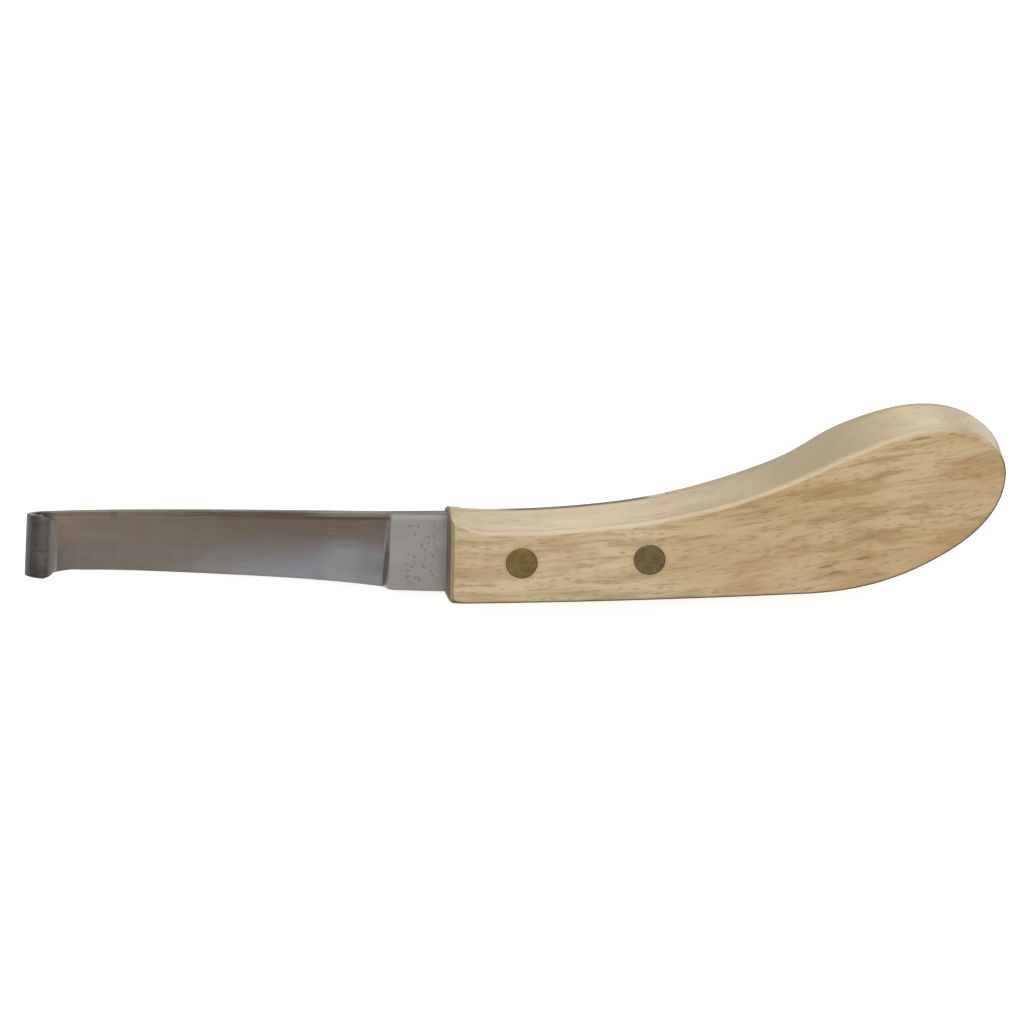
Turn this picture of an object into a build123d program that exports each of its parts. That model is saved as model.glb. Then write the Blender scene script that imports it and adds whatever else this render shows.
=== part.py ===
from build123d import *

import os
from math import cos, radians, sin

# Hoof knife: hook-tipped blade with a slab tang, one-piece wooden handle and two brass pins.
#
# The knife lies on the flat far face of its handle. X runs along the knife, from the hook (-X) to the
# butt (+X). Y points from the cutting edge to the spine. Z is the thickness, up to the side that the
# hook curls towards. The origin is on the rest face, between the two pins. Millimetres.

os.makedirs("parts", exist_ok=True)

# ---- handle: driving dimensions ----
handle_thickness = 18.0
mid_height = handle_thickness / 2
crest_width = 5.0  # flat left along the middle of the top, between the two long chamfers
front_top = (-28.7, 11.0)
front_bottom = (-29.1, -8.9)
front_chamfer = 0.65  # how far the front corners are cut down
belly = (12.0, -8.6)
heel = (47.0, -7.7)  # the straight lower edge turns up into the butt here
edge_round = 1.0  # of the front end's long edges

# ---- blade: driving dimensions ----
stock = 2.8  # thickness of the shank and the tang
back_height = mid_height - stock / 2  # the flat back of the shank
spine_at_handle = 9.9
edge_at_handle = -7.25
plunge_x = -41.2  # the hollow grind ends here
plunge_run = 1.1
plunge_lean = 0.06  # the plunge leans towards the butt, per mm towards the spine
tang_end = 18.6
tang_bottom = -7.25
slot_end_gap = 0.7

bow_start = -41.0  # the blade bows towards the hook's side from here on
hook_root = (-115.92, 12.6)  # X and Z of the blade's back, where the curl begins
root_wall = 1.6
hook_radius = 3.7  # outside of the curl
lip_wall = 0.8
lip_overrun = 48.0  # degrees that the curl runs on past its top
curl_lean = 0.049  # the curl's axis leans this much towards the butt, per mm towards the spine
lip_top_corner = (-115.2, 8.3)  # centres of the rounds on the lip's two corners
lip_top_radius = 2.8
lip_low_corner = (-115.15, 0.55)
lip_low_radius = 2.4
lip_offcut = (12.0, 8.0)  # the waste outside a round

# ---- hollow grind: x, spine y, edge y, steel left at the edge, hollow below the straight bevel ----
spine_flat = 1.0  # left unground along the spine
grind_stations = [
    (plunge_x - plunge_run, 10.1, -6.5, 0.35, 0.40),
    (-60.0, 10.5, -4.4, 0.35, 0.38),
    (-78.0, 11.0, -3.1, 0.35, 0.32),
    (-95.0, 11.35, -2.0, 0.35, 0.24),
    (-107.0, 11.55, -1.4, 0.40, 0.16),
    (-114.2, 11.7, -1.7, 0.90, 0.05),
]
wheel_clearance = 2.0  # how far the cut runs out beyond the steel, above and below the edge
plunge_sink = 0.02
plunge_lift = 0.05

# ---- pins ----
pin_radius = 3.175  # quarter-inch brass rod
pin_places = [("rivet_front", -13.4, -0.2), ("rivet_rear", 14.1, 0.2)]
pin_edge = 0.2

beyond = 40.0  # a cut or a strip that has to run right past the piece

# ---- handle outline: round the butt, then back along the crest, or along the face's ridge ----
butt_points = [(55.3, -7.1), (64.5, -5.2), (77.0, 0.1), (87.2, 8.0), (90.7, 14.4), (91.0, 19.8)]
crest_points = [
    (90.6, 23.5),
    (88.7, 26.6),
    (83.0, 30.6),
    (74.0, 32.2),
    (61.0, 29.6),
    (52.3, 25.9),
    (47.0, 22.7),
    (39.0, 19.2),
    (27.0, 15.4),
    (14.0, 12.5),
    (0.0, 10.9),
    (-13.0, 10.25),
    (-23.6, 10.35),
]
ridge_points = [
    (90.1, 22.2),
    (85.6, 26.0),
    (79.5, 27.7),
    (72.0, 27.1),
    (60.0, 23.2),
    (45.5, 16.9),
    (29.4, 11.4),
    (12.0, 8.2),
    (-6.0, 6.6),
    (-17.0, 6.35),
    (-22.0, 6.55),
]


def outline(top_points, front_drop):
    """One closed outline of the handle: lower edge, round the butt, back along the top."""
    front_corner = (front_top[0], front_top[1] - front_drop)
    runout_start = top_points[-1]
    runout_middle = (
        0.5 * runout_start[0] + 0.5 * front_corner[0],
        0.65 * runout_start[1] + 0.35 * front_corner[1],
    )
    with BuildLine() as wire:
        ThreePointArc(front_bottom, belly, heel)
        Spline(heel, *butt_points, *top_points)
        ThreePointArc(runout_start, runout_middle, front_corner)
        Line(front_corner, front_bottom)
    make_face(wire.edges())


# ---- handle: one piece of wood, sawn from the front for the tang ----
with BuildPart() as handle:
    with BuildSketch(Plane.XY.offset(mid_height)) as crest_plan:
        outline(crest_points, 0.0)
    extrude(amount=crest_width / 2)
    with BuildSketch(Plane.XY.offset(mid_height + crest_width / 2)):
        outline(crest_points, 0.0)
    with BuildSketch(Plane.XY.offset(handle_thickness)):
        outline(ridge_points, front_chamfer)
    loft(ruled=True)
    front_edge = handle.faces().sort_by(Axis.Z)[-1].edges().filter_by(GeomType.LINE)
    fillet(front_edge, edge_round)
    mirror(about=Plane.XY.offset(mid_height))
    with BuildSketch(Plane.XY.offset(back_height)):
        with Locations((tang_end + slot_end_gap, 0)):
            Rectangle(2 * beyond, 2 * beyond, align=(Align.MAX, Align.CENTER))
    extrude(amount=stock, mode=Mode.SUBTRACT)
    with BuildSketch(Plane.XY):
        with Locations(*[(x, y) for _, x, y in pin_places]):
            Circle(pin_radius)
    extrude(amount=handle_thickness, mode=Mode.SUBTRACT)

# ---- tang and shank in plan: the tang's top was ground flush with the crest of the handle ----
with BuildSketch() as tang_plan:
    with Locations((tang_end, tang_bottom)):
        Rectangle(tang_end - front_top[0], beyond, align=(Align.MAX, Align.MIN))
    outline_face = crest_plan.sketch.moved(Location((0, 0, -mid_height)))
    add(outline_face, mode=Mode.INTERSECT)

with BuildSketch() as blade_plan:
    with BuildLine() as blade_line:
        shank_top = Line((-18.0, spine_at_handle), (plunge_x, 10.05))
        spine = Spline(shank_top @ 1, (-73.0, 10.87), (-103.0, 11.52), (-112.0, 11.57), (-121.0, 11.45))
        toe = Polyline(spine @ 1, (-121.0, -1.25), (-118.6, -1.72), (-115.5, -2.05))
        hook_blend = Spline(toe @ 1, (-113.6, -1.75), (-111.2, -1.38), (-107.5, -1.34))
        edge_points = [(-94.7, -1.88), (-81.8, -2.75), (-64.6, -4.0), (-47.4, -5.7), (-43.0, -6.3)]
        edge = Spline(hook_blend @ 1, *edge_points)
        step = Polyline(edge @ 1, (-40.8, -6.8), (-30.0, edge_at_handle), (-18.0, tang_bottom))
        Line(step @ 1, shank_top @ 0)
    make_face()
    add(tang_plan.sketch)


def front_height(x):
    """Height of the blade's unground front at a distance along the knife."""
    share = (bow_start - x) / (bow_start - hook_root[0])
    return back_height + stock + share**2 * (hook_root[1] + root_wall - back_height - stock)


def back_of_blade(x):
    """Height of the blade's back at a distance along the knife."""
    share = (bow_start - x) / (bow_start - hook_root[0])
    return back_height + share**2 * (hook_root[1] - back_height)


def trough(x, spine_y, edge_y, wall, hollow, lift=0.0):
    """Section of what the grinding wheel takes away, leaning like the plunge."""
    top_y = spine_y - spine_flat
    front = front_height(x)
    floor = back_of_blade(x) + wall
    middle = ((top_y + edge_y) / 2, (front + floor) / 2 - hollow + lift)
    leaning = Plane(origin=(x, 0, 0), x_dir=(plunge_lean, 1, 0), z_dir=(1, -plunge_lean, 0))
    with BuildSketch(leaning) as section:
        with BuildLine() as wire:
            ThreePointArc((top_y, front + lift), middle, (edge_y, floor + lift))
            Polyline(
                (edge_y, floor + lift),
                (edge_y - wheel_clearance, floor + lift),
                (edge_y - wheel_clearance, front + wheel_clearance + lift),
                (top_y, front + wheel_clearance + lift),
                (top_y, front + lift),
            )
        make_face(wire.edges())
    return section.sketch


# ---- what grinding takes away: the long hollow, and the short ramp up to the shank ----
with BuildPart() as grind:
    loft([trough(*station) for station in grind_stations])
with BuildPart() as plunge:
    spine_y, edge_y = grind_stations[0][1:3]
    plunge_top = trough(plunge_x, spine_y, edge_y, stock, plunge_sink, lift=plunge_lift)
    loft([plunge_top, trough(*grind_stations[0])])

# ---- blade in profile: shank, bow and curl, as a strip seen from the cutting edge ----
strip_plane = Plane(origin=(0, 0, 0), x_dir=(1, -curl_lean, 0), z_dir=(-curl_lean, -1, 0))
with BuildPart() as blade:
    with BuildSketch(strip_plane):
        with BuildLine():
            flat_back = Line((beyond, back_height), (bow_start, back_height))
            bow_back = TangentArc(flat_back @ 1, hook_root, tangent=flat_back % 1)
            heading = bow_back % 1
            inward = Vector(heading.Y, -heading.X)
            centre = bow_back @ 1 + inward * hook_radius
            inner_radius = hook_radius - root_wall
            turn = radians(lip_overrun)
            lip_direction = inward * cos(turn) - heading * sin(turn)
            lip_outer = centre + lip_direction * hook_radius
            lip_inner = centre + lip_direction * (hook_radius - lip_wall)
            lip_middle = centre + inward * (hook_radius - (lip_wall + root_wall) / 2)
            ThreePointArc(bow_back @ 1, centre + heading * hook_radius, lip_outer)
            Line(lip_outer, lip_inner)
            curl_inside = ThreePointArc(lip_inner, lip_middle, centre + heading * inner_radius)
            root_inside = TangentArc(
                curl_inside @ 1, centre - inward * inner_radius, tangent=curl_inside % 1
            )
            shank_front = (bow_start, back_height + stock)
            TangentArc(shank_front, root_inside @ 1, tangent=(-1, 0))
            Polyline(shank_front, (beyond, back_height + stock), flat_back @ 0)
        make_face()
    extrude(amount=beyond, both=True)
    extrude(blade_plan.sketch, amount=2 * handle_thickness, mode=Mode.INTERSECT)

    add(grind.part, mode=Mode.SUBTRACT)
    add(plunge.part, mode=Mode.SUBTRACT)

    # the lip's two corners are rounded off, clear of the blade below it
    with BuildSketch(Plane.XY.offset(centre.Y)):
        with Locations(lip_top_corner):
            Rectangle(*lip_offcut, align=(Align.MIN, Align.MIN))
            Circle(lip_top_radius, mode=Mode.SUBTRACT)
        with Locations(lip_low_corner):
            Rectangle(*lip_offcut, align=(Align.MIN, Align.MAX))
            Circle(lip_low_radius, mode=Mode.SUBTRACT)
    extrude(amount=handle_thickness, mode=Mode.SUBTRACT)
    with BuildSketch(Plane.XY):
        with Locations(*[(x, y) for _, x, y in pin_places]):
            Circle(pin_radius)
    extrude(amount=handle_thickness, mode=Mode.SUBTRACT)

# ---- pins: ground flush with both faces ----
pins = []
for pin_name, x, y in pin_places:
    with BuildPart(Plane(origin=(x, y, 0))) as pin:
        Cylinder(pin_radius, handle_thickness, align=(Align.CENTER, Align.CENTER, Align.MIN))
        chamfer(pin.edges().filter_by(GeomType.CIRCLE), pin_edge)
    pins.append((pin_name, pin))

for node_name, node in [("handle", handle), ("blade", blade), *pins]:
    node.part.label = node_name
    export_step(node.part, f"parts/{node_name}.step")
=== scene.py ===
from math import asin, cos, pi, radians, sin, tan

import bmesh
import bpy
import numpy as np
from mathutils import Matrix, Vector


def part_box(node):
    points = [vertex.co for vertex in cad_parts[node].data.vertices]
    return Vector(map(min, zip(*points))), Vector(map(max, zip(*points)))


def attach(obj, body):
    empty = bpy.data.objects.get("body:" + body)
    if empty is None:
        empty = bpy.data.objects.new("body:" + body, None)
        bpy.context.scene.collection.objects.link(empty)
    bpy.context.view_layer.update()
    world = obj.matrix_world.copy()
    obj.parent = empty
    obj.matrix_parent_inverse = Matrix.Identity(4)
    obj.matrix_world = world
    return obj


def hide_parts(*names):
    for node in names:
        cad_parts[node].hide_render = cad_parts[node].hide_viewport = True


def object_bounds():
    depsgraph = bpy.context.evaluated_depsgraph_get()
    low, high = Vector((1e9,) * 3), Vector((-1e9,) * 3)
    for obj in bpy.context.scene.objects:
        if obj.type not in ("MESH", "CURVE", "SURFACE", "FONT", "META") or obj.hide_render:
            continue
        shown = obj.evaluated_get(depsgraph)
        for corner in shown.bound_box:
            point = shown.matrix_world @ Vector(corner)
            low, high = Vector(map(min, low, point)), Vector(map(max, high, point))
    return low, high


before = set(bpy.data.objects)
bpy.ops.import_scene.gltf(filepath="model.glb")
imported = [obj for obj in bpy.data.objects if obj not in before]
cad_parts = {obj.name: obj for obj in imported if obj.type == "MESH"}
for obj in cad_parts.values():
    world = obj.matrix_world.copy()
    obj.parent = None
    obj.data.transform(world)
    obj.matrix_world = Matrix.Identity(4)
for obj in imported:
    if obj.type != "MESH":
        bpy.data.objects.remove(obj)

# Looks of a hoof knife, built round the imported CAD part. Metres, in the CAD frame: X runs from the
# hook (-X) to the butt (+X), Y from the cutting edge to the spine, Z up from the floor.

MM = 0.001
cad_low, cad_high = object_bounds()
blade_low, blade_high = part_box("blade")
handle_low, handle_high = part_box("handle")
stock = 2.8 * MM  # thickness of the shank and the tang
# edges that turn by more than these degrees stay sharp
crease = {"pin": 50, "handle": 40, "blade": 50, "cutter": 30}


# ---------------------------------------------------------------- reading the CAD solids
def solid(node):
    """The triangles of a CAD node as an array of corners."""
    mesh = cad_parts[node].data
    mesh.calc_loop_triangles()
    corners = np.array([v.co for v in mesh.vertices])
    return corners[np.array([t.vertices for t in mesh.loop_triangles])]


def slice_solid(triangles, origin, normal):
    """The straight pieces, as an array of end points, along which a plane cuts a solid."""
    side = (triangles - np.array(origin)) @ np.array(normal)
    ends = []
    for a, b in ((0, 1), (1, 2), (2, 0)):
        crossed = side[:, a] * side[:, b] < 0
        fall = np.where(crossed, side[:, a] - side[:, b], 1.0)
        share = (side[:, a] / fall)[:, None]
        point = triangles[:, a] + share * (triangles[:, b] - triangles[:, a])
        ends.append(np.where(crossed[:, None], point, np.nan))
    ends = np.stack(ends, axis=1)
    met = (~np.isnan(ends[:, :, 0])).sum(axis=1) == 2
    return np.array([e[~np.isnan(e[:, 0])] for e in ends[met]])


def crossings(pieces, axis, value):
    """Where a slice's pieces pass one value of one coordinate."""
    a, b = pieces[:, 0], pieces[:, 1]
    hit = (a[:, axis] - value) * (b[:, axis] - value) < 0
    a, b = a[hit], b[hit]
    share = ((value - a[:, axis]) / (b[:, axis] - a[:, axis]))[:, None]
    return a + share * (b - a)


slice_weld = 0.002 * MM  # ends of a slice's pieces this near are one point


def longest_loop(pieces):
    """The longest closed line among a slice's pieces, as points in order."""
    key = lambda p: tuple(np.round(p / slice_weld).astype(int))
    links = {}
    for a, b in pieces:
        if key(a) != key(b):
            links.setdefault(key(a), []).append((key(b), b))
            links.setdefault(key(b), []).append((key(a), a))
    loops, seen = [], set()
    for start in links:
        if start in seen:
            continue
        loop, at = [], start
        while at not in seen:
            seen.add(at)
            onward = [(k, p) for k, p in links[at] if k not in seen]
            if not onward:
                break
            at, point = onward[0]
            loop.append(point)
        loops.append(np.array(loop))
    length = lambda l: np.linalg.norm(np.diff(l, axis=0), axis=1).sum() if len(l) > 2 else 0.0
    return max(loops, key=length)


# ---------------------------------------------------------------- mesh helpers
mesh_weld = 0.0005 * MM


def smoothstep(t):
    t = min(max(t, 0.0), 1.0)
    return t * t * (3 - 2 * t)


def bend(before, corner, after, count):
    """Points of a rounded corner, both ends included."""
    t = np.linspace(0, 1, count)[:, None]
    a, b, c = (np.array(p, float) for p in (before, corner, after))
    return (1 - t) ** 2 * a + 2 * t * (1 - t) * b + t**2 * c


def object_from(name, points, faces, sharp_angle):
    mesh = bpy.data.meshes.new(name)
    mesh.from_pydata([tuple(p) for p in points], [], faces)
    shape = bmesh.new()
    shape.from_mesh(mesh)
    bmesh.ops.remove_doubles(shape, verts=shape.verts, dist=mesh_weld)
    bmesh.ops.recalc_face_normals(shape, faces=shape.faces)
    shape.to_mesh(mesh)
    shape.free()
    thing = bpy.data.objects.new(name, mesh)
    bpy.context.scene.collection.objects.link(thing)
    soften(thing, sharp_angle)
    return thing


def soften(thing, sharp_angle):
    """Smooth shading, with creases kept where faces turn by more than an angle in degrees."""
    thing.data.shade_smooth()
    thing.data.set_sharp_from_angle(angle=radians(sharp_angle))


def tube(rings):
    """Faces that join closed rings of the same length, with both ends closed."""
    count = len(rings[0])
    faces = []
    for row in range(len(rings) - 1):
        here, above = row * count, (row + 1) * count
        for i in range(count):
            j = (i + 1) % count
            faces.append([here + i, here + j, above + j, above + i])
    faces.append(list(range(count)))
    faces.append([(len(rings) - 1) * count + i for i in range(count)])
    return np.concatenate(rings), faces


def subtract(thing, cutter):
    """Cuts one solid out of another and removes the cutter."""
    cut = thing.modifiers.new("cut", "BOOLEAN")
    cut.operation = "DIFFERENCE"
    cut.solver = "EXACT"
    cut.object = cutter
    bpy.context.view_layer.update()
    graph = bpy.context.evaluated_depsgraph_get()
    result = bpy.data.meshes.new_from_object(thing.evaluated_get(graph))
    thing.modifiers.clear()
    thing.data = result
    bpy.data.objects.remove(cutter)


# ---------------------------------------------------------------- pins
pin_proud = {"wide": 1.055, "narrow": 1.01}  # the heads are smeared along the grain by grinding
pin_gap = 0.05 * MM
pin_round = 0.12 * MM
pin_sides = 72
pin_inner_ring = 0.55  # share of the radius at which an end's innermost ring lies


def pin_place(node):
    """A CAD pin's middle, radius, and lowest and highest Z."""
    low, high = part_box(node)
    return (low + high) / 2, (high.x - low.x) / 2, low.z, high.z


def oval(centre, wide, narrow, z):
    """A level ring with one radius along X and another along Y."""
    turn = np.linspace(0, 2 * pi, pin_sides, endpoint=False)
    x, y = centre.x + wide * np.cos(turn), centre.y + narrow * np.sin(turn)
    return np.stack([x, y, np.full(pin_sides, z)], axis=1)


def pin_rings(centre, radius, low, high):
    """An upright pin's rings, slightly wider along X, with rounded rims and flat ends."""
    flat = [(pin_inner_ring, low), (1 - 3 * pin_round / radius, low)]
    rim = bend((1 - pin_round / radius, low), (1.0, low), (1.0, low + pin_round), 4)
    lower = flat + [tuple(p) for p in rim]
    upper = [(share, high + low - z) for share, z in reversed(lower)]
    rings = []
    for share, z in lower + upper:
        wide, narrow = share * radius * pin_proud["wide"], share * radius * pin_proud["narrow"]
        rings.append(oval(centre, wide, narrow, z))
    return rings


def pin_cutter(node):
    """A plain oval plug, a little larger and longer than the pin, that cuts its hole."""
    centre, radius, low, high = pin_place(node)
    wide, narrow = radius * pin_proud["wide"] + pin_gap, radius * pin_proud["narrow"] + pin_gap
    rings = [oval(centre, wide, narrow, z) for z in (low - 1 * MM, high + 1 * MM)]
    return object_from("cutter", *tube(rings), crease["cutter"])


pins = []
for node in ("rivet_front", "rivet_rear"):
    rings = pin_rings(*pin_place(node))
    pins.append(object_from(node.replace("rivet", "pin"), *tube(rings), crease["pin"]))

# ---------------------------------------------------------------- handle
crest_height = 2.5 * MM  # half of the flat band along the middle of the top
mid_height = (handle_low.z + handle_high.z) / 2
chain_steps = 170
front_steps = 14
corner_leg = 1.5 * MM
corner_points = 7
crest_leg = 1.1 * MM
# how far the face's edges are rounded
ridge_leg = {"front": 1.6 * MM, "low": 0.75 * MM, "top": 1.1 * MM}
corner_ridge_leg = 0.5 * MM  # and at the sharp upper corner of the front
slot_gap = 0.04 * MM
front_slant = 0.8 * MM  # the front end is within this of the handle's lowest X
above_crest, below_face = 0.02 * MM, 0.75 * MM  # where the CAD handle is sliced
chain_smoothings = 3
corner_keep = 4  # chain points nearest a corner that its rounding replaces
full_chamfer = 4 * MM  # a chamfer at least this wide has its edge rounded as at the top
# the front's rounding is gone this far behind it, after fading over the second length
front_reach, front_fade = 2.6 * MM, 1.4 * MM
corner_widening = 0.3  # growth of the rounding with distance from the sharp corner
profile_points = {"wall": 3, "low bend": 6, "flank": 5, "high bend": 8}
slot_beyond_tang = 0.1 * MM
slot_margin = 5 * MM  # the slot's cutter starts this far in front of the handle
slot_reach = 40 * MM  # and is this wide to either side


def along(chain, shares):
    """Points of a line at shares of its length."""
    steps = np.linalg.norm(np.diff(chain, axis=0), axis=1)
    travel = np.concatenate([[0], np.cumsum(steps)]) / steps.sum()
    return np.stack([np.interp(shares, travel, chain[:, k]) for k in range(2)], axis=1)


def handle_outline(height):
    """The handle's outline at a height, from the front's lower corner round the butt to its upper
    one, as a lower and an upper chain that meet at the butt's tip."""
    loop = longest_loop(slice_solid(solid("handle"), (0, 0, height), (0, 0, 1)))[:, :2]
    after = np.roll(loop, -1, axis=0)
    if (loop[:, 0] * after[:, 1] - after[:, 0] * loop[:, 1]).sum() < 0:
        loop = loop[::-1]
    at_front = np.where(loop[:, 0] < handle_low.x + front_slant)[0]
    loop = np.roll(loop, -min(at_front, key=lambda i: loop[i].sum()), axis=0)
    tip = int(np.argmax(loop[:, 0]))
    at_front = np.where(loop[:, 0] < handle_low.x + front_slant)[0]
    top = max(at_front, key=lambda i: loop[i, 1] - loop[i, 0])
    shares = np.linspace(0, 1, chain_steps)
    lower = along(loop[: tip + 1], shares)
    upper = along(loop[tip : top + 1][::-1], shares)
    return lower, upper


def smooth_chain(chain, rounds):
    """Evens out the small steps of a tessellated line and keeps its ends."""
    for _ in range(rounds):
        chain[1:-1] = (chain[:-2] + 2 * chain[1:-1] + chain[2:]) / 4
    return chain


slice_low = mid_height + crest_height + above_crest
slice_high = handle_high.z - below_face
crest_lower, crest_upper = handle_outline(slice_low)
near_lower, near_upper = handle_outline(slice_high)
reach = (handle_high.z - slice_low) / (slice_high - slice_low)
ridge_lower = crest_lower + (near_lower - crest_lower) * reach
ridge_upper = crest_upper + (near_upper - crest_upper) * reach
for chain in (crest_lower, crest_upper, ridge_lower, ridge_upper):
    smooth_chain(chain, chain_smoothings)


def closed_outline(lower, upper):
    """One ring: lower chain, butt, upper chain backwards, and the front with rounded corners."""
    def corner(before, point, after):
        a = point + (before - point) / np.linalg.norm(before - point) * corner_leg
        c = point + (after - point) / np.linalg.norm(after - point) * corner_leg
        return bend(a, point, c, corner_points)

    low_round = corner(upper[0], lower[0], lower[corner_keep])
    high_round = corner(upper[corner_keep], upper[0], lower[0])
    front = np.linspace(high_round[-1], low_round[0], front_steps)[1:-1]
    backwards = upper[corner_keep:-1][::-1]
    return np.concatenate([low_round, lower[corner_keep:], backwards, high_round, front])


crest = closed_outline(crest_lower, crest_upper)
ridge = closed_outline(ridge_lower, ridge_upper)
ring_count = len(crest)
onward = np.roll(ridge, -1, axis=0) - np.roll(ridge, 1, axis=0)
inward = np.stack([-onward[:, 1], onward[:, 0]], axis=1)
inward /= np.linalg.norm(inward, axis=1)[:, None]
chamfer_runs = np.linalg.norm(ridge - crest, axis=1)


def ridge_legs():
    """How far the face's edge is rounded at each point of the ring."""
    legs = []
    for point, run in zip(ridge, chamfer_runs):
        share = smoothstep(run / full_chamfer)
        leg = ridge_leg["low"] + (ridge_leg["top"] - ridge_leg["low"]) * share
        at_front = smoothstep((handle_low.x + front_reach - point[0]) / front_fade)
        leg += (ridge_leg["front"] - leg) * at_front
        from_corner = np.linalg.norm(point - ridge_upper[0])
        legs.append(min(leg, corner_ridge_leg + corner_widening * from_corner))
    return np.array(legs)


def face_outline(legs):
    """Where the flat face begins: inside the rounding, and straight along the front."""
    face = ridge + inward * legs[:, None]
    low, high = ridge_lower[0], ridge_upper[0]
    lean = (high[0] - low[0]) / (high[1] - low[1])
    behind_front = face[:, 0] - (low[0] + (face[:, 1] - low[1]) * lean + ridge_leg["front"])
    beyond = behind_front < 0
    beside = face[~beyond & (behind_front < 2 * MM), 1]
    face[beyond, 1] = np.clip(face[beyond, 1], beside.min(), beside.max())
    face[beyond, 0] = low[0] + (face[beyond, 1] - low[1]) * lean + ridge_leg["front"]
    return face


legs = ridge_legs()
face_ring = face_outline(legs)


def handle_profile(i):
    """Half of the handle's section at one place of its outline, from mid height to the face."""
    outer = np.array([*crest[i], mid_height])
    shoulder = np.array([*crest[i], mid_height + crest_height])
    rim = np.array([*ridge[i], handle_high.z])
    rise = (rim - shoulder) / np.linalg.norm(rim - shoulder)
    face = np.array([*face_ring[i], handle_high.z])
    below, above = shoulder - [0, 0, crest_leg], shoulder + rise * crest_leg
    low_bend = bend(below, shoulder, above, profile_points["low bend"])
    high_bend = bend(rim - rise * legs[i], rim, face, profile_points["high bend"])
    wall = np.linspace(outer, low_bend[0], profile_points["wall"])[:-1]
    flank = np.linspace(low_bend[-1], high_bend[0], profile_points["flank"])[1:-1]
    return np.concatenate([wall, low_bend, flank, high_bend])


profiles = [handle_profile(i) for i in range(ring_count)]
half_rings = [np.array([p[k] for p in profiles]) for k in range(len(profiles[0]))]
mirrored = []
for ring in half_rings[:0:-1]:
    flipped = ring.copy()
    flipped[:, 2] = 2 * mid_height - ring[:, 2]
    mirrored.append(flipped)
rings = mirrored + half_rings
points, faces = tube(rings)
faces = faces[:-2]  # ladders of quads close the two flat faces instead

# the ring's index at the butt's tip: tip - k lies opposite tip + k
tip = corner_points + chain_steps - corner_keep - 1
assert ring_count == 2 * tip + front_steps - 1, (ring_count, tip)


def ladder(points, first):
    """Rungs of quads between opposite points of the ring that starts at an index."""
    points, quads = list(points), []
    columns = front_steps - 2
    last_row = [first + 2 * tip] + [first + 2 * tip + 1 + c for c in range(columns)] + [first]
    for k in range(tip - 1, -1, -1):
        high, low = first + tip + k, first + tip - k
        if k == 0:
            quads += [[last_row[c], last_row[c + 1], high] for c in range(columns + 1)]
            break
        row = [high]
        for c in range(1, columns + 1):
            row.append(len(points))
            points.append(points[high] + (points[low] - points[high]) * c / (columns + 1))
        row.append(low)
        quads += [[last_row[c], last_row[c + 1], row[c + 1], row[c]] for c in range(columns + 1)]
        last_row = row
    return points, quads


for first in (0, (len(rings) - 1) * ring_count):
    points, quads = ladder(points, first)
    faces += quads
handle = object_from("handle_wood", points, faces, crease["handle"])

# the saw slot for the tang, open at the front and along both edges, and the two pin holes
tang_low, tang_high = blade_low.z - slot_gap, blade_low.z + stock + slot_gap
slot_start, slot_end = handle_low.x - slot_margin, blade_high.x + slot_beyond_tang
slot_ring = np.array([
    [slot_start, -slot_reach],
    [slot_end, -slot_reach],
    [slot_end, slot_reach],
    [slot_start, slot_reach],
])
slot_rings = [np.column_stack([slot_ring, np.full(4, z)]) for z in (tang_low, tang_high)]
subtract(handle, object_from("cutter", *tube(slot_rings), crease["cutter"]))
for node in ("rivet_front", "rivet_rear"):
    subtract(handle, pin_cutter(node))
soften(handle, crease["handle"])

# ---------------------------------------------------------------- blade
plunge_lean = 0.06  # sections lean this much towards the butt, per unit of Y
curl_lean = 0.049
straight_end = -34.0 * MM  # nearer the handle they don't lean
curl_radius = 3.7 * MM  # outside of the hook's curl
curl_root_wall = 1.6 * MM
curl_lip_wall = 0.8 * MM
curl_turn = 228  # degrees from the blade's back round to the lip's edge
bow_start = -41.0 * MM
bow_rise = 5.0 * MM
bow_run = 75.06 * MM
bow_radius = (bow_run**2 + bow_rise**2) / (2 * bow_rise)
bow_angle = asin(bow_run / bow_radius)
spine_flat = 1.0 * MM
edge_round = 0.22 * MM

blade_solid = solid("blade")
curl_root = Vector((bow_start - bow_run, 0, blade_low.z + bow_rise))
curl_inward = Vector((sin(bow_angle), 0, cos(bow_angle)))
curl_across = Vector((-curl_inward.z, 0, curl_inward.x))
curl_centre = curl_root + curl_inward * curl_radius


def back_at(x):
    """The point on the blade's back, and its normal, at one station of the shank or the bow."""
    if x >= bow_start:
        return Vector((x, 0, blade_low.z)), Vector((0, 0, 1))
    angle = asin((bow_start - x) / bow_radius)
    back = Vector((x, 0, blade_low.z + bow_radius * (1 - cos(angle))))
    return back, Vector((sin(angle), 0, cos(angle)))


def lean_at(x):
    if x > bow_start:
        return plunge_lean * smoothstep((straight_end - x) / (straight_end - bow_start))
    return plunge_lean + (curl_lean - plunge_lean) * (bow_start - x) / bow_run


nudge = 1e-7  # keeps a section off the CAD mesh's own corners


def cut_at(x, lean, low_z, high_z):
    """The CAD blade's leaning section at a station, between two heights."""
    pieces = slice_solid(blade_solid, (x + nudge, 0, 0), (1, -lean, 0))
    middle = pieces[:, :, 2].mean(axis=1)
    return pieces[(middle > low_z) & (middle < high_z)]


rows_back = 9
rows_front = 26
spine_crease = 0.07 * MM  # rows this far either side keep the spine's flat crisp
grid_inset, grid_points = 0.03 * MM, 90  # where a section's thickness is read


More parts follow.
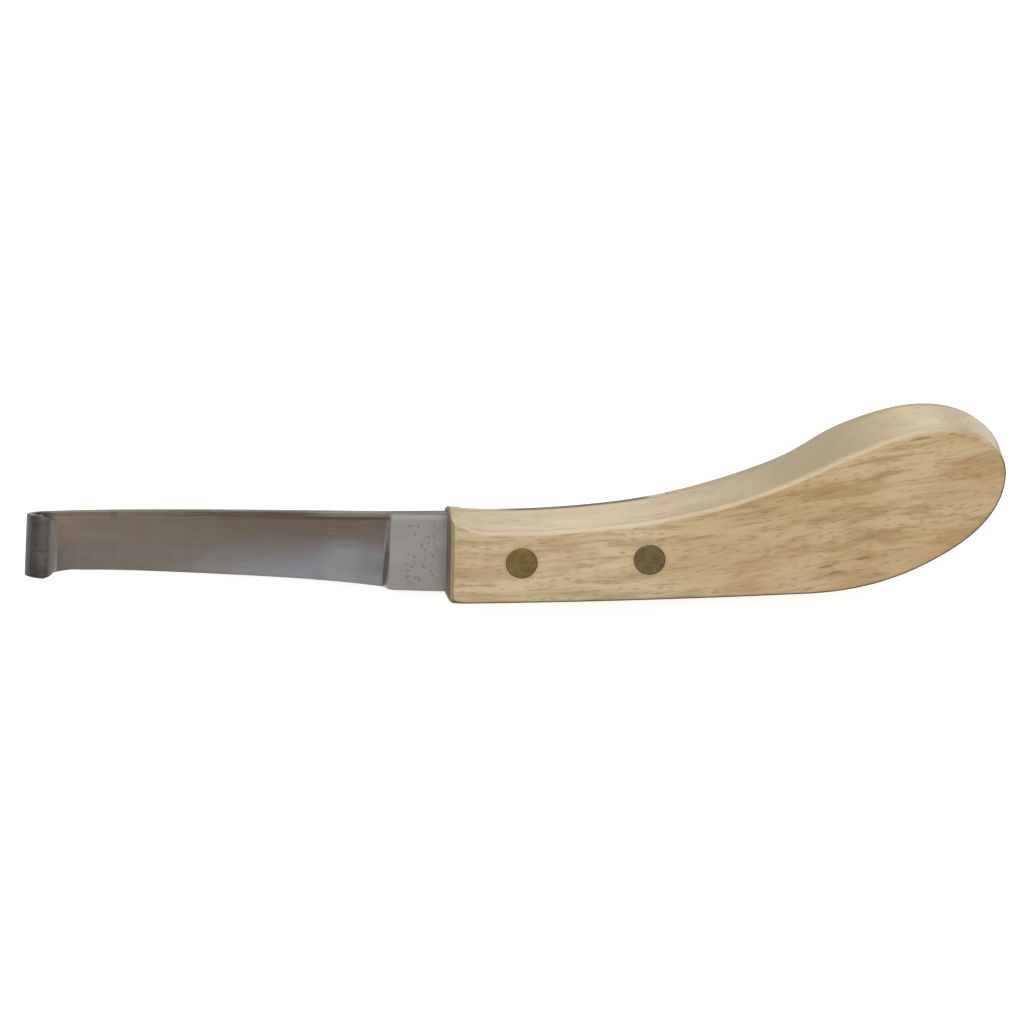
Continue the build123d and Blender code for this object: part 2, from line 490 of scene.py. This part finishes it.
def blade_ring(back, normal, lean, low, high, thickness):
    """One closed section: the back, the rounded spine, the front down to the rounded edge.
    thickness is the steel's thickness at a distance along Y."""
    near_low, near_high = thickness(low + edge_round), thickness(high - edge_round)
    low_leg, high_leg = min(edge_round, 0.4 * near_low), min(edge_round, 0.4 * near_high)
    back_row = [(y, 0.0) for y in np.linspace(low + low_leg, high - high_leg, rows_back)][:-1]
    spine_low = bend((high - high_leg, 0), (high, 0), (high, high_leg), 5)
    spine_high = bend((high, near_high - high_leg), (high, near_high), (high - high_leg, near_high),
                      5)
    line = high - spine_flat
    front = list(np.linspace(high - 2 * high_leg, line + spine_crease, 3)) + [line]
    front += list(np.linspace(line - spine_crease, low + low_leg, rows_front))[:-1]
    front_row = [(y, thickness(y)) for y in front]
    edge_high = bend((low + low_leg, near_low), (low, near_low), (low, near_low - low_leg), 5)
    edge_low = bend((low, low_leg), (low, 0), (low + low_leg, 0), 5)[:-1]
    section = back_row + [*spine_low, *spine_high] + front_row + [*edge_high, *edge_low]
    return np.array([
        [back.x + normal.x * h + lean * y, y, back.z + normal.z * h] for y, h in section
    ])


def section_of(x):
    """The lowest and highest Y and the thickness along Y of the CAD blade at a station."""
    pieces = cut_at(x, lean_at(x), -1, curl_centre.z)
    back, normal = back_at(x)
    low, high = pieces[:, :, 1].min(), pieces[:, :, 1].max()
    if x > handle_low.x:
        return low, high, lambda y: stock
    grid = np.linspace(low + grid_inset, high - grid_inset, grid_points)
    tops = [crossings(pieces, 1, y)[:, 2].max() - back.z for y in grid]
    return low, high, lambda y: float(np.interp(y, grid, tops)) * normal.z


tang_end = blade_high.x - 0.05 * MM
front_top = -28.7 * MM  # the tang's top steps up here to the handle's crest
top_step = 0.04 * MM  # half the length of that step
plunge_stations = [-41.0, -41.2, -41.4, -41.7, -42.0, -42.2, -42.35, -42.6, -43.2]
stations = [tang_end, *np.arange(18.0, -28.0, -2.0) * MM]
stations += [front_top + top_step, front_top - top_step]
stations += [*np.arange(-30.0, -41.0, -1.0) * MM, *np.array(plunge_stations) * MM]
stations += list(np.linspace(-44.5, -112.6, 60) * MM)
blade_rings = []
for x in stations:
    back, normal = back_at(x)
    low, high, thickness = section_of(x)
    blade_rings.append(blade_ring(back, normal, lean_at(x), low, high, thickness))

# between the ground blade and the curl the steel thickens to the hook's root
grind_end = stations[-1]
root_low, root_high, ground = section_of(grind_end)


def edges_at(x, low_z, high_z):
    """The CAD blade's lowest and highest Y at a station, between two heights."""
    pieces = cut_at(x, curl_lean, low_z, high_z)
    return pieces[:, :, 1].min(), pieces[:, :, 1].max()


blend_steps = 7
for step in range(1, blend_steps + 1):
    share = step / blend_steps
    x = grind_end + (curl_root.x - grind_end) * share
    back, normal = back_at(x)
    low, high = edges_at(x, -1, curl_centre.z)
    mix = smoothstep(share)

    def thickness(y):
        place = root_low + (y - low) / (high - low) * (root_high - root_low)
        return (1 - mix) * ground(place) + mix * curl_root_wall

    blade_rings.append(blade_ring(back, normal, curl_lean, low, high, thickness))

curl_steps = 52
# sections are measured this far inside the curl's outermost side and the lip's end
clearance = 0.12 * MM
lip_end = curl_centre.x + curl_radius * sin(radians(curl_turn - 180)) - clearance
for step in range(1, curl_steps + 1):
    angle = radians(curl_turn) * step / curl_steps
    direction = -curl_inward * cos(angle) + curl_across * sin(angle)
    back = curl_centre + direction * curl_radius
    over = max(0.0, (angle - pi / 2) / (radians(curl_turn) - pi / 2))
    wall = curl_root_wall + (curl_lip_wall - curl_root_wall) * over
    x = max(back.x, curl_centre.x - curl_radius + clearance)
    if angle < pi / 2:
        low, high = edges_at(x, -1, curl_centre.z)
    else:
        low, high = edges_at(min(x, lip_end), curl_centre.z, 1)
    blade_rings.append(blade_ring(back, -direction, curl_lean, low, high, lambda y: wall))
blade = object_from("blade_steel", *tube(blade_rings), crease["blade"])
for node in ("rivet_front", "rivet_rear"):
    subtract(blade, pin_cutter(node))
soften(blade, crease["blade"])


# ---------------------------------------------------------------- materials
class Finish:
    """A material with short ways to add shader nodes. Patterns are in metres on the piece."""

    def __init__(self, name):
        self.material = bpy.data.materials.new(name)
        self.material.use_nodes = True
        self.tree = self.material.node_tree
        self.shader = self.tree.nodes["Principled BSDF"]
        place = self.tree.nodes.new("ShaderNodeTexCoord").outputs["Object"]
        self.x, self.y, self.z = self.add("ShaderNodeSeparateXYZ", [place]).outputs
        normal = self.add("ShaderNodeNewGeometry", []).outputs["Normal"]
        facing = self.add("ShaderNodeSeparateXYZ", [normal]).outputs
        self.facing_x, self.facing_y, self.facing_z = facing

    def add(self, kind, inputs, **settings):
        node = self.tree.nodes.new(kind)
        for key, value in settings.items():
            setattr(node, key, value)
        for socket, value in zip(node.inputs, inputs):
            if isinstance(value, bpy.types.NodeSocket):
                self.tree.links.new(value, socket)
            elif value is not None:
                socket.default_value = value
        return node

    def math(self, operation, *values):
        return self.add("ShaderNodeMath", values, operation=operation).outputs[0]

    def times(self, first, second):
        return self.math("MULTIPLY", first, second)

    def ramp(self, value, start, end, low=0.0, high=1.0):
        """A smooth step of a value from one level to another."""
        inputs = [value, start, end, low, high]
        return self.add("ShaderNodeMapRange", inputs, interpolation_type="SMOOTHSTEP").outputs[0]

    def stretched(self, scale, y=None):
        """Coordinates multiplied by a number for each axis, with Y replaced if another is given."""
        joined = self.add("ShaderNodeCombineXYZ", [self.x, y or self.y, self.z]).outputs[0]
        return self.add("ShaderNodeVectorMath", [joined, scale], operation="MULTIPLY").outputs[0]

    def noise(self, vector, detail=3.0, roughness=0.55, distortion=0.0):
        node = self.add("ShaderNodeTexNoise", [], noise_dimensions="3D")
        self.tree.links.new(vector, node.inputs["Vector"])
        settings = {"Scale": 1.0, "Detail": detail, "Roughness": roughness,
                    "Distortion": distortion}
        for name, value in settings.items():
            node.inputs[name].default_value = value
        return node.outputs["Fac"]

    def cells(self, vector):
        """Distance to the nearest of scattered points, and a random number for each point."""
        node = self.add("ShaderNodeTexVoronoi", [], feature="F1")
        self.tree.links.new(vector, node.inputs["Vector"])
        node.inputs["Scale"].default_value = 1.0
        node.inputs["Randomness"].default_value = 1.0
        colour = self.add("ShaderNodeSeparateColor", [node.outputs["Color"]])
        return node.outputs["Distance"], colour.outputs[0]

    def mix(self, share, first, second, blend="MIX"):
        node = self.add("ShaderNodeMix", [], data_type="RGBA", blend_type=blend)
        for index, value in ((0, share), (6, first), (7, second)):
            if isinstance(value, bpy.types.NodeSocket):
                self.tree.links.new(value, node.inputs[index])
            else:
                node.inputs[index].default_value = value if index == 0 else (*value, 1.0)
        return node.outputs[2]

    def relief(self, height, depth, strength, under=None):
        """A normal tilted by a height; under is a coarser or finer relief that it adds to."""
        node = self.add("ShaderNodeBump", [])
        node.inputs["Strength"].default_value = strength
        node.inputs["Distance"].default_value = depth
        self.tree.links.new(height, node.inputs["Height"])
        if under is not None:
            self.tree.links.new(under, node.inputs["Normal"])
        return node.outputs[0]

    def finish(self, colour, roughness, normal, coat=None, **constants):
        patterns = {"Base Color": colour, "Roughness": roughness, "Normal": normal,
                    "Coat Weight": coat}
        for name, value in patterns.items():
            if value is not None:
                self.tree.links.new(value, self.shader.inputs[name])
        for name, value in constants.items():
            self.shader.inputs[name.replace("_", " ")].default_value = value
        return self.material


plunge_place = -41.4 * MM
spine_rise = 0.0195  # how fast the spine climbs towards the hook
spine_place = 10.05 * MM


def steel_material():
    f = Finish("ground_steel")
    station = f.math("SUBTRACT", f.x, f.times(f.y, plunge_lean))
    spine_line = f.math("MULTIPLY_ADD", f.math("SUBTRACT", station, plunge_place), -spine_rise,
                        spine_place)
    below_spine = f.math("SUBTRACT", spine_line, f.y)
    shank = f.ramp(station, plunge_place - 0.5 * MM, plunge_place + 0.5 * MM)
    hook = f.ramp(station, -113.8 * MM, -115.6 * MM)
    flat_strip = f.ramp(below_spine, spine_flat + 0.12 * MM, spine_flat - 0.12 * MM)
    near_handle = f.ramp(station, -96 * MM, -56 * MM)
    near_edge = f.ramp(below_spine, 3.6 * MM, 10.5 * MM)
    # what the wheel left: fine lines along the blade, broad cloudy patches, faint cross bands
    lines = f.noise(f.stretched((90.0, 3200.0, 3200.0)), detail=4.0, roughness=0.65)
    clouds = f.noise(f.stretched((55.0, 130.0, 130.0)), detail=3.0, roughness=0.5, distortion=0.6)
    bands = f.noise(f.stretched((420.0, 25.0, 25.0)), detail=2.0)
    grit = f.noise(f.stretched((2300.0, 2300.0, 2300.0)), detail=3.0, roughness=0.7)
    # the hollow's brownish steel, with a painted reflection that turns it blue-grey low down near
    # the handle
    upper = f.mix(near_handle, (0.258, 0.21, 0.156), (0.222, 0.163, 0.122))
    lower = f.mix(near_handle, (0.212, 0.190, 0.165), (0.262, 0.272, 0.294))
    hollow = f.mix(near_edge, upper, lower)
    # a painted reflection, pale blue-grey, low on the hollow a little in front of the plunge
    hollow_reflection = f.times(f.ramp(station, -57 * MM, -52 * MM), f.ramp(station, -45.5 * MM, -49.5 * MM))
    hollow = f.mix(f.times(f.times(hollow_reflection, near_edge), 0.5), hollow, (0.39, 0.405, 0.43))
    hollow = f.mix(f.ramp(clouds, 0.35, 0.65, 0.0, 0.27), hollow, (0.20, 0.158, 0.112))
    hollow = f.mix(f.ramp(bands, 0.35, 0.7, 0.0, 0.12), hollow, (0.31, 0.28, 0.26))
    strip = f.mix(f.ramp(station, -96 * MM, -76 * MM), (0.163, 0.139, 0.105), (0.095, 0.077, 0.061))
    strip = f.mix(f.ramp(station, -62 * MM, -53 * MM), strip, (0.20, 0.172, 0.137))
    # painted shade in a dark band just below the grind line, stronger towards the handle
    grind_line_shade = f.times(f.ramp(below_spine, spine_flat + 1.0 * MM, spine_flat + 0.4 * MM),
                   f.ramp(station, -82 * MM, -52 * MM))
    hollow = f.mix(f.times(grind_line_shade, 0.75), hollow, (0.105, 0.08, 0.055))
    bright = f.mix(flat_strip, hollow, strip)
    # painted shade in the run-out of the hollow, just before the shank
    runout_shade = f.times(f.ramp(station, -44.6 * MM, -42.4 * MM),
                     f.ramp(station, -40.9 * MM, -41.6 * MM))
    bright = f.mix(f.times(runout_shade, 0.2), bright, (0.125, 0.118, 0.108))
    plain = f.mix(f.ramp(clouds, 0.35, 0.65), (0.345, 0.335, 0.318), (0.312, 0.30, 0.284))
    pale = f.times(f.ramp(below_spine, 0.42 * MM, 0.6 * MM),
                   f.ramp(below_spine, 1.5 * MM, 1.3 * MM))
    plain = f.mix(f.times(pale, 0.45), plain, (0.45, 0.44, 0.41))
    plain = f.mix(f.ramp(below_spine, 0.5 * MM, 0.36 * MM, 0.0, 0.6), plain, (0.13, 0.125, 0.11))
    bright = f.mix(shank, bright, plain)
    # a painted highlight on the plunge's slope, the face that turns towards the hook
    plunge_slope_highlight = f.times(f.ramp(f.facing_x, -0.10, -0.28), f.ramp(f.y, 8 * MM, 2 * MM, 0.35, 1.0))
    plunge_slope_highlight = f.times(plunge_slope_highlight, f.ramp(station, -44.0 * MM, -42.8 * MM))
    bright = f.mix(f.times(plunge_slope_highlight, f.ramp(station, -40.4 * MM, -41.0 * MM)), bright,
                   (0.43, 0.42, 0.40))
    # the curl was forged and is darker, with a painted highlight along the lip's end
    curl = f.mix(f.ramp(clouds, 0.3, 0.7), (0.074, 0.066, 0.062), (0.118, 0.107, 0.102))
    curl = f.mix(f.ramp(f.y, 4 * MM, -1.5 * MM, 0.0, 0.5), curl, (0.045, 0.043, 0.040))
    # painted shade on the curl's side that faces the hook
    flank = f.ramp(f.facing_x, -0.25, -0.7)
    curl = f.mix(f.times(flank, 0.6), curl, (0.06, 0.048, 0.05))
    # the painted highlight along the lip's end
    leaning = f.math("SUBTRACT", f.x, f.times(f.y, curl_lean))
    lip_end_highlight = f.ramp(leaning, lip_end - 1.9 * MM, lip_end - 0.7 * MM)
    lip_end_highlight = f.times(lip_end_highlight, f.ramp(f.z, curl_centre.z, curl_centre.z + 0.5 * MM))
    curl = f.mix(f.times(lip_end_highlight, 0.85), curl, (0.35, 0.32, 0.30))
    lip = f.ramp(f.z, curl_centre.z, curl_centre.z + 0.3 * MM)
    forged = f.math("MAXIMUM", hook, lip)
    colour = f.mix(forged, bright, curl)
    colour = f.mix(f.ramp(lines, 0.3, 0.75, 0.0, 0.14), colour, (0.42, 0.40, 0.37))
    colour = f.mix(f.ramp(grit, 0.55, 0.75, 0.0, 0.25), colour, (0.12, 0.10, 0.085))
    # a few brown spots, more of them near the hook
    span, pick = f.cells(f.stretched((230.0, 230.0, 90.0)))
    rare = f.times(f.ramp(pick, 0.86, 0.92), f.ramp(station, -70 * MM, -105 * MM, 0.25, 1.0))
    spots = f.times(f.ramp(span, 0.34, 0.08), rare)
    colour = f.mix(f.times(spots, 0.6), colour, (0.11, 0.082, 0.045))
    # a worn patch of fine pits on the shank
    patch = f.times(f.ramp(f.x, -38.6 * MM, -37.4 * MM), f.ramp(f.x, -29.8 * MM, -31.4 * MM))
    patch = f.times(patch,
                    f.times(f.ramp(f.y, -6.4 * MM, -5.0 * MM), f.ramp(f.y, 8.2 * MM, 7.0 * MM)))
    patch = f.times(patch, f.ramp(f.facing_z, 0.5, 0.9))
    near_pit, chosen = f.cells(f.stretched((1350.0, 1100.0, 100.0)))
    thick = f.ramp(f.x, -32 * MM, -36 * MM, -0.05, 0.08)
    gather = f.math("ADD", f.noise(f.stretched((330.0, 260.0, 50.0)), detail=1.0), thick)
    gather = f.ramp(gather, 0.38, 0.50)
    pits = f.times(f.ramp(near_pit, 0.50, 0.20), f.ramp(chosen, 0.22, 0.36))
    pits = f.times(f.times(pits, gather), patch)
    colour = f.mix(f.times(pits, 0.5), colour, (0.14, 0.13, 0.12))
    # the spine and the tang's edges keep their dark forging skin
    skin = f.ramp(f.math("ABSOLUTE", f.facing_y), 0.55, 0.9)
    tang_front = f.times(f.ramp(f.facing_x, -0.5, -0.8), f.ramp(f.x, -31 * MM, -30 * MM))
    filed = f.times(f.ramp(f.x, -28.6 * MM, -28.0 * MM), f.ramp(f.x, -13 * MM, -19 * MM))
    filed = f.math("MAXIMUM", filed, f.ramp(f.x, 13.6 * MM, 15.4 * MM))
    filed = f.times(filed, f.ramp(f.facing_y, 0.3, 0.6))
    skin = f.times(f.math("MAXIMUM", skin, tang_front),
                   f.math("SUBTRACT", 1.0, f.times(filed, 0.9)))
    colour = f.mix(f.times(filed, 0.7), colour, (0.50, 0.44, 0.33))
    colour = f.mix(f.times(skin, 0.8), colour, (0.085, 0.078, 0.068))
    roughness = f.ramp(shank, 0.0, 1.0, 0.36, 0.52)
    roughness = f.math("ADD", roughness, f.ramp(clouds, 0.3, 0.7, -0.04, 0.06))
    roughness = f.math("ADD", roughness, f.times(f.math("MAXIMUM", forged, skin), 0.12))
    normal = f.relief(lines, 0.012 * MM, 0.5)
    normal = f.relief(f.math("SUBTRACT", grit, f.times(pits, 2.0)), 0.015 * MM, 0.5, under=normal)
    return f.finish(colour, roughness, normal, Metallic=1.0)


def wood_material():
    f = Finish("pale_wood")
    # the grain runs along the handle and climbs towards the butt
    climb = f.math("MULTIPLY_ADD", f.times(f.x, f.x), 0.9, f.times(f.x, 0.06))
    across = f.math("SUBTRACT", f.y, climb)
    wander = f.noise(f.stretched((22.0, 40.0, 40.0)), detail=2.0)
    across = f.math("MULTIPLY_ADD", f.math("SUBTRACT", wander, 0.5), 6.0 * MM, across)
    grain = lambda along_grain, over, deep: f.stretched((along_grain, over, deep), y=across)
    broad = f.noise(grain(20.0, 150.0, 90.0), detail=3.0)
    patches = f.noise(grain(62.0, 270.0, 180.0), detail=3.0, roughness=0.55, distortion=0.4)
    streaks = f.noise(grain(85.0, 900.0, 600.0), detail=4.0, roughness=0.62)
    fibres = f.noise(grain(140.0, 3600.0, 2600.0), detail=3.0, roughness=0.6)
    blush = f.noise(grain(22.0, 95.0, 60.0), detail=2.0)
    band = f.ramp(f.facing_y, 0.3, 0.6)
    face = f.math("SUBTRACT", 1.0, f.times(band, 0.5))
    colour = f.mix(f.ramp(broad, 0.38, 0.62), (0.575, 0.468, 0.293), (0.478, 0.36, 0.19))
    colour = f.mix(f.times(f.ramp(patches, 0.47, 0.66), 0.64), colour, (0.36, 0.235, 0.10))
    colour = f.mix(f.times(f.ramp(patches, 0.46, 0.34), 0.35), colour, (0.58, 0.49, 0.345))
    streaked = f.times(f.ramp(f.x, 5 * MM, 25 * MM, 0.58, 0.72), face)
    colour = f.mix(f.times(f.ramp(streaks, 0.48, 0.66), streaked), colour, (0.33, 0.215, 0.095))
    colour = f.mix(f.ramp(fibres, 0.42, 0.68, 0.0, 0.38), colour, (0.62, 0.51, 0.34))
    colour = f.mix(f.times(f.ramp(blush, 0.44, 0.60), 0.36), colour, (0.50, 0.335, 0.205))
    low_butt = f.times(f.ramp(f.x, 20 * MM, 60 * MM), f.ramp(f.y, 14 * MM, 2 * MM))
    colour = f.mix(f.times(low_butt, 0.18), colour, (0.43, 0.28, 0.135))
    # off the top, the wood is tawnier from the rear pin back
    tawny = f.times(f.ramp(f.x, 8 * MM, 26 * MM), f.math("SUBTRACT", 1.0, band))
    colour = f.mix(tawny, colour, (0.94, 0.895, 0.785), blend="MULTIPLY")
    # open pores, cut lengthwise into short dark dashes of two sizes, that gather in patches
    gather = f.ramp(f.noise(grain(34.0, 120.0, 90.0), detail=1.0), 0.42, 0.58, 0.15, 1.0)
    gather = f.times(gather, face)
    reach_1, pick_1 = f.cells(grain(165.0, 790.0, 900.0))
    dash = f.times(f.ramp(reach_1, 0.42, 0.14), f.ramp(pick_1, 0.44, 0.58))
    dash = f.times(f.times(dash, gather), f.ramp(f.x, -12 * MM, 24 * MM, 0.4, 1.0))
    reach_2, pick_2 = f.cells(grain(350.0, 1900.0, 2000.0))
    fleck = f.times(f.ramp(reach_2, 0.42, 0.14), f.ramp(pick_2, 0.40, 0.55))
    fleck = f.times(fleck, f.ramp(band, 0.0, 1.0, 1.0, 0.5))
    colour = f.mix(f.times(fleck, 0.58), colour, (0.28, 0.18, 0.082))
    colour = f.mix(f.times(dash, 0.80), colour, (0.235, 0.14, 0.062))
    # a few orange specks towards the butt
    reach_3, pick_3 = f.cells(grain(210.0, 760.0, 500.0))
    speck = f.times(f.ramp(reach_3, 0.38, 0.10), f.ramp(pick_3, 0.88, 0.93))
    speck = f.times(speck, f.ramp(f.x, 48 * MM, 75 * MM))
    colour = f.mix(f.times(speck, 0.65), colour, (0.47, 0.24, 0.085))
    # the top is greyer, with painted light where it faces the hook and painted shade where it faces
    # the butt, and a painted highlight along the ridge beside it
    colour = f.mix(f.times(band, 0.35), colour, (0.475, 0.43, 0.335))
    hook_facing_light = f.times(band, f.ramp(f.facing_x, -0.16, -0.38))
    colour = f.mix(f.times(hook_facing_light, 0.95), colour, (0.76, 0.635, 0.40))
    butt_facing_shade = f.times(band, f.ramp(f.facing_x, -0.05, 0.2))
    colour = f.mix(butt_facing_shade, colour, (0.87, 0.86, 0.86), blend="MULTIPLY")
    ridge_highlight = f.times(f.ramp(f.facing_y, 0.10, 0.28), f.ramp(f.facing_y, 0.74, 0.52))
    ridge_highlight = f.times(ridge_highlight, f.ramp(f.math("ABSOLUTE", f.facing_z), 0.45, 0.65))
    ridge_highlight = f.times(ridge_highlight, f.ramp(f.x, 52 * MM, 74 * MM, 0.5, 0.2))
    colour = f.mix(ridge_highlight, colour, (0.66, 0.575, 0.42))
    # the front's end grain is darker, partly in painted shade, and darkest in painted shadow by the
    # steel
    colour = f.mix(f.times(f.ramp(f.facing_x, -0.10, -0.34), 0.85), colour, (0.29, 0.235, 0.155))
    colour = f.mix(f.times(f.ramp(f.facing_x, -0.60, -0.9), 0.9), colour, (0.10, 0.077, 0.05))
    # painted shade on the rounded edges that face neither the top nor the front, and on the side
    # walls
    upright = f.math("ABSOLUTE", f.facing_z)
    edge = f.times(f.ramp(upright, 0.985, 0.84), f.ramp(upright, 0.02, 0.2))
    edge = f.times(edge, f.times(f.ramp(f.facing_y, 0.4, 0.1), f.ramp(f.facing_x, -0.6, -0.3)))
    colour = f.mix(f.times(edge, 0.92), colour, (0.09, 0.062, 0.035))
    side = f.ramp(upright, 0.35, 0.12)
    colour = f.mix(f.times(side, 0.35), colour, (0.20, 0.165, 0.12))
    # and a painted shadow line along the crest's lower edge, seen along the top
    low_crest = f.times(f.ramp(f.z, mid_height - 1.2 * MM, mid_height - 2.0 * MM),
                      f.ramp(f.z, mid_height - 3.2 * MM, mid_height - 2.7 * MM))
    outline = f.times(low_crest, f.ramp(f.facing_y, 0.2, 0.5))
    colour = f.mix(f.times(outline, 0.58), colour, (0.09, 0.07, 0.05))
    # polishing grime round the pins, drawn out along the grain
    for node in ("rivet_front", "rivet_rear"):
        middle, radius = pin_place(node)[:2]
        dx = f.times(f.math("SUBTRACT", f.x, middle.x), 0.85)
        dy = f.math("SUBTRACT", f.y, middle.y)
        span = f.math("SQRT", f.math("ADD", f.times(dx, dx), f.times(dy, dy)))
        grime = f.ramp(span, radius + 0.5 * MM, radius - 0.3 * MM, 0.0, 0.35)
        colour = f.mix(grime, colour, (0.24, 0.165, 0.08))
    dull = f.math("MAXIMUM", f.math("MAXIMUM", edge, side), f.ramp(f.facing_x, -0.10, -0.34))
    roughness = f.math("ADD", f.ramp(streaks, 0.3, 0.7, 0.36, 0.46), f.times(dash, 0.2))
    roughness = f.math("MULTIPLY_ADD", dull, 0.4, roughness)
    height = f.math("SUBTRACT", fibres, f.times(dash, 1.5))
    height = f.math("SUBTRACT", height, f.times(fleck, 0.6))
    normal = f.relief(height, 0.035 * MM, 0.45)
    normal = f.relief(f.noise(grain(60.0, 160.0, 160.0), detail=1.0), 0.12 * MM, 0.5, under=normal)
    coat = f.ramp(dull, 0.0, 1.0, 0.35, 0.0)
    return f.finish(colour, roughness, normal, coat=coat, Coat_Roughness=0.2,
                    Specular_IOR_Level=0.35)


def brass_material():
    f = Finish("worn_brass")
    mottle = f.noise(f.stretched((700.0, 900.0, 700.0)), detail=4.0, roughness=0.6)
    scratches = f.noise(f.stretched((260.0, 5200.0, 5200.0)), detail=3.0)
    pits = f.noise(f.stretched((3800.0, 3800.0, 3800.0)), detail=2.0)
    front_pin = f.ramp(f.x, 1.0 * MM, -1.0 * MM)
    tone = f.mix(front_pin, (0.175, 0.138, 0.068), (0.205, 0.15, 0.050))
    colour = f.mix(f.ramp(mottle, 0.38, 0.7, 0.0, 0.5), tone, (0.105, 0.078, 0.034))
    colour = f.mix(f.ramp(scratches, 0.5, 0.8, 0.0, 0.25), colour, (0.28, 0.225, 0.11))
    colour = f.mix(f.ramp(pits, 0.6, 0.75, 0.0, 0.4), colour, (0.08, 0.06, 0.03))
    roughness = f.ramp(mottle, 0.3, 0.7, 0.36, 0.55)
    normal = f.relief(scratches, 0.01 * MM, 0.5)
    normal = f.relief(pits, 0.015 * MM, 0.4, under=normal)
    return f.finish(colour, roughness, normal, Metallic=1.0)


pieces = [
    (blade, "blade", "blade_steel", steel_material()),
    (handle, "handle", "handle_wood", wood_material()),
]
brass = brass_material()
for pin, node in zip(pins, ("rivet_front", "rivet_rear")):
    pieces.append((pin, node, "pin_brass", brass))
for piece, node, slot, material in pieces:
    piece.data.materials.clear()
    piece.data.materials.append(material)
    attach(piece, "root")
    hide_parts(node)

# ---------------------------------------------------------------- floor, light and camera
floor_mesh = bpy.data.meshes.new("floor")
floor_half = 3.0
floor_drop = 0.02 * MM  # keeps the floor clear of the face that the knife lies on
corners = [(x * floor_half, y * floor_half) for x, y in ((-1, -1), (1, -1), (1, 1), (-1, 1))]
floor_mesh.from_pydata([(x, y, -floor_drop) for x, y in corners], [], [(0, 1, 2, 3)])
floor = bpy.data.objects.new("floor", floor_mesh)
bpy.context.scene.collection.objects.link(floor)
paper = bpy.data.materials.new("floor")
paper.use_nodes = True
paper_looks = {
    "Base Color": (0.9, 0.9, 0.9, 1),
    "Roughness": 0.9,
    "Emission Color": (1, 1, 1, 1),
    "Emission Strength": 0.55,
}
for name, value in paper_looks.items():
    paper.node_tree.nodes["Principled BSDF"].inputs[name].default_value = value
floor_mesh.materials.append(paper)

centre = (cad_low + cad_high) / 2
aim_shift = (-1.405 * MM, -0.76 * MM)
aim = Vector((centre.x + aim_shift[0], centre.y + aim_shift[1], handle_high.z))
camera_tilt = (4.8, 7.8)  # degrees off the vertical, towards the hook and towards the spine
lean_x, lean_y = (tan(radians(tilt)) for tilt in camera_tilt)
towards_camera = Vector((-lean_x, lean_y, 1)).normalized()
camera_distance = 1214.6 * MM
camera_data = bpy.data.cameras.new("camera")
camera_data.lens = 200
camera_data.sensor_width = 36
camera = bpy.data.objects.new("camera", camera_data)
camera.location = aim + towards_camera * camera_distance
right = Vector((0, 1, 0)).cross(towards_camera).normalized()
up = towards_camera.cross(right)
camera.rotation_mode = "QUATERNION"
camera.rotation_quaternion = Matrix((right, up, towards_camera)).transposed().to_quaternion()
camera_data.clip_start, camera_data.clip_end = 0.05, 20
bpy.context.scene.collection.objects.link(camera)
bpy.context.scene.camera = camera

world = bpy.data.worlds.new("studio")
bpy.context.scene.world = world
world.use_nodes = True
world.node_tree.nodes["Background"].inputs["Color"].default_value = (1.0, 0.96, 0.92, 1)
world.node_tree.nodes["Background"].inputs["Strength"].default_value = 0.42


def softbox(name, place, size, radiance, tint):
    """A large rectangular lamp facing the knife's middle; radiance is how bright it looks."""
    data = bpy.data.lights.new(name, "AREA")
    data.shape = "RECTANGLE"
    data.size, data.size_y = size
    data.energy = radiance * pi * size[0] * size[1]
    data.color = tint
    lamp = bpy.data.objects.new(name, data)
    lamp.location = place
    lamp.rotation_mode = "QUATERNION"
    lamp.rotation_quaternion = (centre - lamp.location).to_track_quat("-Z", "Y")
    bpy.context.scene.collection.objects.link(lamp)


softbox("key", (-0.1, 0.75, 1.5), (1.6, 1.1), 2.5, (1.0, 0.985, 0.96))
softbox("band", (-0.35, 1.3, 0.9), (2.2, 0.6), 1.5, (1.0, 0.985, 0.96))
softbox("fill", (-0.5, -1.5, 0.9), (2.0, 0.9), 0.9, (1.0, 0.98, 0.95))
softbox("top", (0.15, -0.48, 1.8), (0.6, 0.6), 1.1, (0.93, 0.965, 1.0))

bpy.context.scene.view_settings.view_transform = "Standard"
